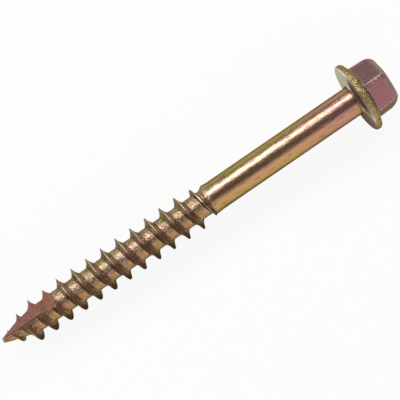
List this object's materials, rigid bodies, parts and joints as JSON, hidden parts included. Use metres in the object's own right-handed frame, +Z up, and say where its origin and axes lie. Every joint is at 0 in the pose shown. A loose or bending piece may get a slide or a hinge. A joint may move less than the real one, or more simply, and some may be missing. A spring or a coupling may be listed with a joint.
{
  "type": "hex flange lag screw",
  "caption": "Hex flange head lag screw with a plain shank, a coarse right-hand wood thread and a notched self-starting point, cold-forged and zinc plated.",
  "frame": {"origin": "centre of the bearing face under the flange, on the screw's axis", "axes": "+X toward the head end, level, with the screw's axis rising 2.41 degrees from +X; +Z up; the screw lies on a level floor 5.72 mm below the origin"},
  "size_m": [0.0706, 0.0115, 0.0115],
  "materials": {
    "plated_steel": "cold-forged steel with yellow chromate over zinc, satin"
  },
  "bodies": {
    "root": {"lag_screw": "plated_steel"}
  },
  "joints": []
}
